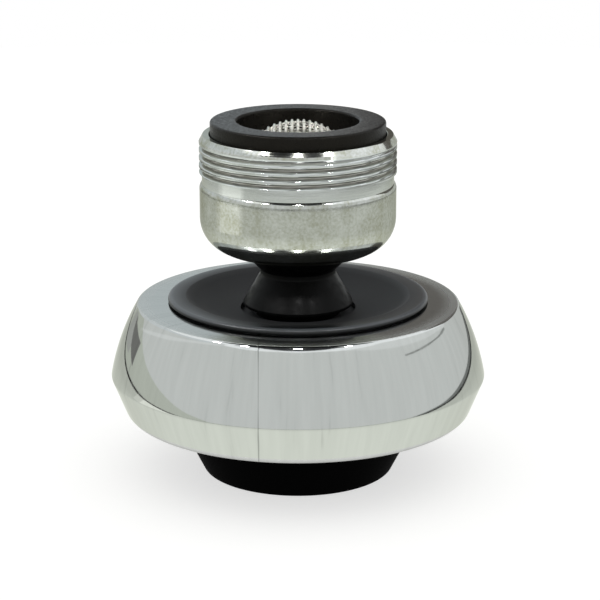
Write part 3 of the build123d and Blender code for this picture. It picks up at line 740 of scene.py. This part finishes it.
def make_stem():
    """Ball, neck, flared skirt and spigot in one piece, with the grooves for its seal and clip."""
    ball_low = -math.acos(NECK_R / ball_r)
    neck_top = ball_level + ball_r * math.sin(ball_low)
    neck = neck_top - NECK_LEN
    flare_edge = neck - FLARE_RISE
    flare = flare_edge - FLARE_EDGE_H
    restrictor_bore_r = restrictor_r + SEAL_GAP
    ball_high = math.acos((restrictor_bore_r + BALL_FLAT_W) / ball_r)
    clip_groove_r = SPIGOT_END_R - CLIP_GROOVE_DEPTH
    seal_groove_r = stem_seal_r - (stem_seal_top - stem_seal_bottom) - SEAL_GAP
    ball = swept((0, ball_level), ball_r, ball_low, ball_high)
    piece = turned("ball_and_spigot", [
        (STEM_BORE_R, stem_bottom),
        (SPIGOT_END_R, stem_bottom, FLARE_EDGE_ROUND),
        (SPIGOT_END_R, clip_bottom),
        (clip_groove_r, clip_bottom),
        (clip_groove_r, clip_top),
        (SPIGOT_END_R, clip_top),
        (SPIGOT_END_R, slip_top + ASSEMBLY_GAP),
        (SPIGOT_R, slip_top + ASSEMBLY_GAP),
        (SPIGOT_R, stem_seal_bottom - GROOVE_SIDE),
        (seal_groove_r, stem_seal_bottom - GROOVE_SIDE),
        (seal_groove_r, stem_seal_top + GROOVE_SIDE),
        (SPIGOT_R, stem_seal_top + GROOVE_SIDE),
        (SPIGOT_R, flare),
        (FLARE_R, flare, FLARE_FOOT_ROUND),
        (FLARE_R, flare_edge, FLARE_EDGE_ROUND),
        (NECK_R, neck, NECK_ROUND),
        (NECK_R, neck_top, NECK_TOP_ROUND),
        *ball[BALL_TRIM:],
        (restrictor_bore_r, ball_flat_level),
        (restrictor_bore_r, restrictor_bottom),
        (STEM_BORE_R, restrictor_bottom),
    ], FINISHES["black_acetal"])
    settle(piece, "stem", "black_acetal", "ball_stem")


# Chrome shell

WIDEST_R = 22.93
BAND_H = 4.85
BAND_TAPER = 1.96
HEM_ROUND = 1.4
SIDE_H = 8.98
SIDE_CROWN = 0.42
SHOULDER_INSET = 3.35
SHELL_WALL = 1.4
SHELL_LIP = 0.2
LEDGE_W = 1.0
LEDGE_T = 1.2
PLATE_T = 1.4
SHOULDER_ROUND = 0.5
WIDEST_ROUND = 0.7
SHELL_HOLE_R = 15.1

# Points of the side's curve that give way to the roundings at its upper and lower end
SIDE_TRIM_UP = 3
SIDE_TRIM_LOW = 2


def make_shell():
    """The shell with its land, domed side, tapered band and the ledge that holds the foot's plate."""
    widest = shell_bottom + BAND_H
    shoulder_r = WIDEST_R - SHOULDER_INSET
    shoulder = widest + SIDE_H
    mouth_r = foot_plate_r + ASSEMBLY_GAP
    plate_top = shell_bottom + SHELL_LIP + PLATE_T
    side = bowed((shoulder_r, shoulder), (WIDEST_R, widest), -SIDE_CROWN)
    inner_top = (shoulder_r - SHELL_WALL, shoulder - SHELL_WALL)
    inner = bowed((WIDEST_R - SHELL_WALL, widest), inner_top, SIDE_CROWN)
    piece = turned("plated_shell", [
        (SHELL_HOLE_R, land_level),
        (shoulder_r, shoulder, SHOULDER_ROUND),
        *side[SIDE_TRIM_UP:-SIDE_TRIM_LOW],
        (WIDEST_R, widest, WIDEST_ROUND),
        (WIDEST_R - BAND_TAPER, shell_bottom, HEM_ROUND),
        (mouth_r, shell_bottom),
        (mouth_r, plate_top),
        (mouth_r - LEDGE_W, plate_top),
        (mouth_r - LEDGE_W, plate_top + LEDGE_T),
        (mouth_r, plate_top + LEDGE_T),
        *inner,
        (SHELL_HOLE_R, land_level - SHELL_WALL),
    ], FINISHES["chrome_shell"])
    settle(piece, "head", "chrome_shell", "body_shell")


# Top dish

DISH_RIM_ROUND = 0.42
DISH_GAP_W = 0.6
DISH_GAP_H = 0.25
DISH_BOWL_ROUND = 0.5
DISH_DEPTH = 1.65
DISH_BOWL_SAG = 0.35
DISH_HOLE_R = 7.02
DISH_RECESS = 0.65
DISH_WALL = 1.6
SKIRT_IN_R = 13.9
SKIRT_WALL = 1.1
SLEEVE_WALL = 1.6
SLEEVE_BOTTOM = 14.0

# Points of the bowl's curve that give way to the rounding of the rim
BOWL_TRIM = 2


def make_dish():
    """The dished cap with the shadow gap under its lip, the skirt, and the sleeve that runs on the spigot."""
    sleeve_r = SPIGOT_R + RUNNING_GAP
    edge = dish_rim_level - DISH_DEPTH
    recess = edge - DISH_RECESS
    rim_in = (dish_r - DISH_RIM_W, dish_rim_level)
    bowl = bowed((DISH_HOLE_R, edge), rim_in, DISH_BOWL_SAG)
    piece = turned("dished_cap", [
        *bowl[:-BOWL_TRIM],
        (*rim_in, DISH_BOWL_ROUND),
        (dish_r, dish_rim_level, DISH_RIM_ROUND),
        (dish_r, land_level + DISH_GAP_H),
        (dish_r - DISH_GAP_W, land_level + DISH_GAP_H),
        (dish_r - DISH_GAP_W, land_level),
        (SKIRT_IN_R + SKIRT_WALL, land_level),
        (SKIRT_IN_R + SKIRT_WALL, skirt_bottom),
        (SKIRT_IN_R, skirt_bottom),
        (SKIRT_IN_R, land_level - DISH_WALL),
        (sleeve_r + SLEEVE_WALL, recess - DISH_WALL),
        (sleeve_r + SLEEVE_WALL, SLEEVE_BOTTOM),
        (sleeve_r, SLEEVE_BOTTOM),
        (sleeve_r, recess),
        (DISH_HOLE_R, recess),
    ], FINISHES["black_plastic"])
    settle(piece, "head", "black_plastic", "top_dish")


# Outlet foot with its ring of spray holes

FOOT_R = 11.57
FOOT_TOP_R = 14.9
FOOT_H = 6.6
FOOT_EDGE_ROUND = 0.6
PLATE_RISE = 1.0
CHAMBER_WALL = 1.9
SPRAY_R = 10.15
SPRAY_HOLE_R = 0.45
SPRAY_HOLES = 24
SPRAY_HOLE_SIDES = 20
SPRAY_CHANNEL_W = 1.1
SPRAY_FLOOR = 1.6
MOUTH_CHAMFER = 0.25
INSERT_LEDGE_W = 0.95


def drill_tree():
    """Bores a ring of round holes up into a piece from below."""
    tree, size = start_tree("spray_holes", {
        "Holes": "Int", "Ring Radius": "Float", "Hole Radius": "Float", "Depth": "Float"})
    ring = add(tree, "GeometryNodeMeshCircle", {"Vertices": size["Holes"], "Radius": size["Ring Radius"]})
    length = add(tree, MATH, {0: size["Depth"], 1: 2.0}, operation="MULTIPLY")
    drill = add(tree, "GeometryNodeMeshCylinder", {
        "Vertices": SPRAY_HOLE_SIDES, "Radius": size["Hole Radius"], "Depth": length})
    drills = add(tree, "GeometryNodeInstanceOnPoints", {"Points": ring, "Instance": drill})
    solid = add(tree, "GeometryNodeRealizeInstances", {"Geometry": drills})
    bored = add(tree, "GeometryNodeMeshBoolean", {0: size["Geometry"], 1: solid}, operation="DIFFERENCE")
    return end_tree(tree, bored, size["Material"])


def make_outlet():
    """The tapered foot with its plate, chamber wall, spray channel and the pocket of the aerator insert."""
    pocket_r = insert_r + ASSEMBLY_GAP
    boss_hole_r = pocket_r - INSERT_LEDGE_W
    chamber_r = divider_r + ASSEMBLY_GAP
    wall_r = chamber_r + CHAMBER_WALL
    groove_r = chamber_seal_r - (chamber_seal_top - chamber_seal_bottom) - SEAL_GAP
    plate_bottom = FOOT_H + PLATE_RISE
    piece = turned("outlet_cup", [
        (pocket_r + MOUTH_CHAMFER, foot_bottom),
        (FOOT_R, foot_bottom, FOOT_EDGE_ROUND),
        (FOOT_TOP_R, FOOT_H),
        (foot_plate_r, plate_bottom),
        (foot_plate_r, plate_bottom + PLATE_T),
        (wall_r, plate_bottom + PLATE_T),
        (wall_r, chamber_seal_bottom - GROOVE_SIDE),
        (groove_r, chamber_seal_bottom - GROOVE_SIDE),
        (groove_r, chamber_seal_top + GROOVE_SIDE),
        (wall_r, chamber_seal_top + GROOVE_SIDE),
        (wall_r, chamber_top),
        (chamber_r, chamber_top),
        (chamber_r, FOOT_H),
        (SPRAY_R + SPRAY_CHANNEL_W / 2, FOOT_H),
        (SPRAY_R + SPRAY_CHANNEL_W / 2, SPRAY_FLOOR),
        (SPRAY_R - SPRAY_CHANNEL_W / 2, SPRAY_FLOOR),
        (SPRAY_R - SPRAY_CHANNEL_W / 2, FOOT_H),
        (boss_hole_r, FOOT_H),
        (boss_hole_r, insert_depth),
        (pocket_r, insert_depth),
        (pocket_r, MOUTH_CHAMFER),
    ], SHADED_FOOT_FINISH)
    grow(piece, drill_tree(), {
        "Holes": SPRAY_HOLES, "Ring Radius": SPRAY_R * MM, "Hole Radius": SPRAY_HOLE_R * MM,
        "Depth": 2 * SPRAY_FLOOR * MM, "Material": SHADED_FOOT_FINISH,
    })
    settle(piece, "head", "black_plastic", "outlet_foot")


# Aerator insert

HOUSING_WALL = 0.85
HOUSING_FLANGE_T = 0.5
HOUSING_FLANGE_W = 0.6
HOUSING_EDGE_ROUND = 0.2


def make_insert():
    """The insert's cup, and the flat screen at its mouth."""
    bore_r = insert_r - HOUSING_WALL
    housing = turned("insert_cup", [
        (bore_r - HOUSING_FLANGE_W, insert_bottom, HOUSING_EDGE_ROUND),
        (insert_r, insert_bottom, HOUSING_EDGE_ROUND),
        (insert_r, insert_top),
        (bore_r, insert_top),
        (bore_r, insert_bottom + HOUSING_FLANGE_T),
        (bore_r - HOUSING_FLANGE_W, insert_bottom + HOUSING_FLANGE_T),
    ], FINISHES["white_acetal"])
    settle(housing, "head", "white_acetal", "aerator_housing")
    middle = (outlet_mesh_bottom + outlet_mesh_top) / 2
    screen = woven(
        "outlet_wire_cloth", OUTLET_PITCH, OUTLET_WIRE_R, outlet_mesh_r - ASSEMBLY_GAP,
        middle, FLAT_SCREEN_R, outlet_mesh_bottom)
    settle(screen, "head", "wire_screen", "lower_screen")


def finish_inner_pieces():
    """The solids that stay as they are get the finish of their slot."""
    for part in frame["record"]["subparts"]:
        solid = frame["nodes"][part["node"]]
        for place in solid.material_slots:
            place.material = FINISHES[part["material_slot"]]


# Studio

TENT_R = 175.0
TENT_STEPS = 96
TENT_TOP = 165.0
HEM_LEVEL = 158.0
LAYER_STEP = 0.5
CEILING_LEVEL = 205.0
CEILING_HOLE_R = 95.0
OPENING_IN_R = 1.0
BRIGHT = 1.2
CLOTH_IN_R = 24.0
CLOTH_LIFT = 0.2
CLOTH_DIM_R = 115.0
CLOTH_DIM = 0.7
FLOOR_LIGHT_IN_R = 100.0
FLOOR_LIGHT_OUT_R = 173.0
FLOOR_R = 330.0
FLOOR_GLOW = 0.62
FILL_LIGHT = 0.8
LAMP_AZIMUTHS = (-72.0, -45.0, 0.0, 42.0)
LAMP_DISTANCE = 205.0
LAMP_SIZE = 16.0
LAMP_RISE = 52.0
LAMP_RADIANCE = 90.0


def glow(name, colour, strength=1.0, dim=None):
    """The light that leaves a sheet of the tent, which may fall off to a share of itself with distance."""
    material, tree = start_material(name)
    light = add(tree, "ShaderNodeEmission", {"Color": linear(colour), "Strength": strength})
    if dim:
        place = add(tree, "ShaderNodeTexCoord").outputs["Object"]
        away = add(tree, VECTOR, {0: place}, operation="LENGTH").outputs["Value"]
        fall = add(tree, RANGE, {
            "Value": away, "From Min": CLOTH_IN_R * MM, "From Max": CLOTH_DIM_R * MM,
            "To Min": strength, "To Max": strength * dim})
        tree.links.new(fall.outputs[0], light.inputs["Strength"])
    return end_material(material, light)


def hang(name, points, faces, material):
    """A sheet of the studio that only shows in the chrome: it lights no matt face and casts no shadow."""
    mesh = bpy.data.meshes.new(name)
    mesh.from_pydata(points, [], faces)
    mesh.materials.append(material)
    sheet = put(name, mesh)
    sheet.visible_camera = False
    sheet.visible_diffuse = False
    sheet.visible_shadow = False
    return sheet


def tent_sheet(name, turn, low, high, material, far=None):
    """A curved sheet between two azimuths and two (radius, level) edges, with other levels at its far end."""
    ends = far or (low[1], high[1])
    points = []
    for share in (k / TENT_STEPS for k in range(TENT_STEPS + 1)):
        angle = math.radians(turn[0] + (turn[1] - turn[0]) * share)
        for (radius, level), end in zip((low, high), ends):
            height = level + (end - level) * share
            points.append((radius * MM * math.sin(angle), -radius * MM * math.cos(angle), height * MM))
    faces = [(2 * k, 2 * k + 2, 2 * k + 3, 2 * k + 1) for k in range(TENT_STEPS)]
    hang(name, points, faces, material)


def in_sight(tree):
    """One for what the eye sees straight, in the chrome or through a gap, and nought for what only lights."""
    path = add(tree, "ShaderNodeLightPath").outputs
    seen = add(tree, MATH, {0: path["Is Camera Ray"], 1: path["Is Glossy Ray"]}, operation="MAXIMUM")
    return add(tree, MATH, {0: seen, 1: path["Is Transmission Ray"]}, operation="MAXIMUM")


def lay_floor():
    """Matt white board: it keeps the soft shadow, and shows white to the eye and in the chrome."""
    material, tree = start_material("matt_white_board")
    lift = add(tree, MATH, {0: in_sight(tree), 1: FLOOR_GLOW}, operation="MULTIPLY")
    board = add(tree, "ShaderNodeBsdfDiffuse", {"Color": linear("#C4C4C2")})
    light = add(tree, "ShaderNodeEmission", {"Color": linear("#FFFFFF"), "Strength": lift})
    end_material(material, add(tree, "ShaderNodeAddShader", {0: board, 1: light}))
    angles = [math.tau * k / TENT_STEPS for k in range(TENT_STEPS)]
    points = [(FLOOR_R * MM * math.cos(a), FLOOR_R * MM * math.sin(a), 0.0) for a in angles]
    floor = hang("white_board", points, [tuple(range(TENT_STEPS))], material)
    floor.visible_camera = True


def light_world():
    """White all round for the eye and for the chrome, and a plain even light for everything else."""
    world = bpy.data.worlds.new("studio")
    bpy.context.scene.world = world
    world.use_nodes = True
    tree = world.node_tree
    tree.nodes.clear()
    strength = add(tree, RANGE, {"Value": in_sight(tree), "To Min": FILL_LIGHT, "To Max": 1.0})
    back = add(tree, "ShaderNodeBackground", {"Color": linear("#FFFFFF"), "Strength": strength})
    add(tree, "ShaderNodeOutputWorld", {"Surface": back})


def hang_tent():
    """White cloth on all sides, with the darker gaps and cards that chrome needs to show its form."""
    bright = glow("bright_cloth", "#FAFDFF", BRIGHT)
    pale = glow("pale_cloth", "#F1F4F4")
    slit = glow("grey_slit", "#868684")
    all_round = (-180, 180)
    # Name, layer inwards from the wall, azimuths, low and high level at the first one, at the last, cloth
    for name, layer, turn, start, end, cloth in (
        ("tent_wall", 0, all_round, (0, TENT_TOP), (0, TENT_TOP), glow("tent_cloth", "#E3E6E5")),
        ("blue_left", 1, (-155, -55), (30, TENT_TOP), (139, TENT_TOP), glow("blue_left", "#E6ECEF")),
        ("pale_hem", 2, (-127, -55), (32.5, 36), (138, 146), pale),
        ("bright_left", 2, (-55, -15), (139, TENT_TOP), (HEM_LEVEL, TENT_TOP), bright),
        ("bright_front", 2, (-15, 15), (HEM_LEVEL, TENT_TOP), (HEM_LEVEL, TENT_TOP), bright),
        ("pale_right", 1, (25, 118), (HEM_LEVEL, TENT_TOP), (57, TENT_TOP), pale),
        ("bright_right", 2, (15, 70), (HEM_LEVEL, TENT_TOP), (132, TENT_TOP), bright),
        ("bright_far_right", 2, (70, 125), (132, TENT_TOP), (68, TENT_TOP), bright),
        ("blue_back", 2, (-180, -158), (40, TENT_TOP), (40, TENT_TOP), glow("blue_cloth", "#D6DFE3")),
        ("tent_seam", 4, (74, 116), (85, 87.5), (55, 57.5), glow("grey_seam", "#9EA19F")),
        ("tent_skirting", 2, (-150, -37), (0, 50), (0, 2), glow("grey_hem", "#D0D5CB")),
        ("floor_slit", 6, all_round, (0, 2.5), (0, 2.5), glow("dark_gap", "#303030")),
        ("corner_shade", 4, (45, 165), (0, 2.5), (0, 9), glow("shaded_cloth", "#868987")),
        ("dark_card", 4, (122, 176), (73, TENT_TOP), (48, TENT_TOP), glow("grey_card", "#767370")),
        ("slit_tip", 6, (-140, -129.5), (21.5, 22.5), (15, 28), slit),
        ("slit", 6, (-129.5, -119), (15, 28), (11, 33), slit),
        ("pale_slit", 4, (-146, -129.5), (0, 20), (8, 28), glow("pale_slit", "#BFC1BE")),
    ):
        radius = TENT_R - layer * LAYER_STEP
        tent_sheet(name, turn, (radius, start[0]), (radius, start[1]), cloth, end)
    eave, ceiling_rim = (TENT_R, TENT_TOP), (CEILING_HOLE_R, CEILING_LEVEL)
    for name, turn, cloth in (
        ("tent_slope_left", (-180, -50), bright),
        ("tent_slope_front", (-50, 42), glow("dim_cloth", "#38393B")),
        ("tent_slope_right", (42, 180), bright),
    ):
        tent_sheet(name, turn, eave, ceiling_rim, cloth)
    opening = glow("tent_opening", "#0C0C0C")
    tent_sheet("tent_opening", all_round, ceiling_rim, (OPENING_IN_R, CEILING_LEVEL), opening)
    floor_cloth = glow("floor_cloth", "#FBFFF5", 1.0, CLOTH_DIM)
    tent_sheet("floor_cloth", all_round, (CLOTH_IN_R, CLOTH_LIFT), (TENT_R, CLOTH_LIFT), floor_cloth)
    # Soft-edged light on the floor, in two layers of cloth: layer, azimuths, strength
    for layer, turn, strength in ((2, (-106, -65), 0.86), (3, (-99, -69), 1.1)):
        level = layer * CLOTH_LIFT
        lit = glow("lit_cloth", "#FCFFF6", strength)
        tent_sheet("floor_light", turn, (FLOOR_LIGHT_IN_R, level), (FLOOR_LIGHT_OUT_R, level), lit)


def stand(name, data, azimuth, rise, distance, middle=(0, 0, 0)):
    """A lamp or camera that looks at a middle point from a distance, at an azimuth and a rise in degrees."""
    turn, lift = math.radians(azimuth), math.radians(rise)
    way = Vector((math.sin(turn) * math.cos(lift), -math.cos(turn) * math.cos(lift), math.sin(lift)))
    holder = put(name, data)
    holder.location = (Vector(middle) + way * distance) * MM
    holder.rotation_mode = "QUATERNION"
    holder.rotation_quaternion = way.to_track_quat("Z", "Y")
    return holder


def hang_lamps():
    """Small lamps high in front, which put a spark on every bright edge."""
    for azimuth in LAMP_AZIMUTHS:
        lamp = bpy.data.lights.new("edge_lamp", "AREA")
        lamp.shape = "DISK"
        lamp.size = LAMP_SIZE * MM
        lamp.energy = LAMP_RADIANCE * math.pi * math.pi / 4 * lamp.size ** 2
        holder = stand("edge_lamp", lamp, azimuth, LAMP_RISE, LAMP_DISTANCE)
        holder.visible_diffuse = False


# Camera as it stood for the photograph

LENS = 132.0
SENSOR = 36.0
CAMERA_DISTANCE = 269.0
CAMERA_RISE = 15.77
CAMERA_NEAR = 10.0
AIM = (0.244, 0.0, 21.23)


def set_camera():
    """The camera, which looks down on the middle of the object from the front."""
    data = bpy.data.cameras.new("camera")
    data.lens = LENS
    data.sensor_width = SENSOR
    data.clip_start = CAMERA_NEAR * MM
    bpy.context.scene.camera = stand("camera", data, 0.0, CAMERA_RISE, CAMERA_DISTANCE, AIM)


make_collar()
make_inlet()
make_stem()
make_shell()
make_dish()
make_outlet()
make_insert()
finish_inner_pieces()

light_world()
hang_tent()
hang_lamps()
lay_floor()
set_camera()
bpy.context.scene.view_settings.view_transform = "Standard"
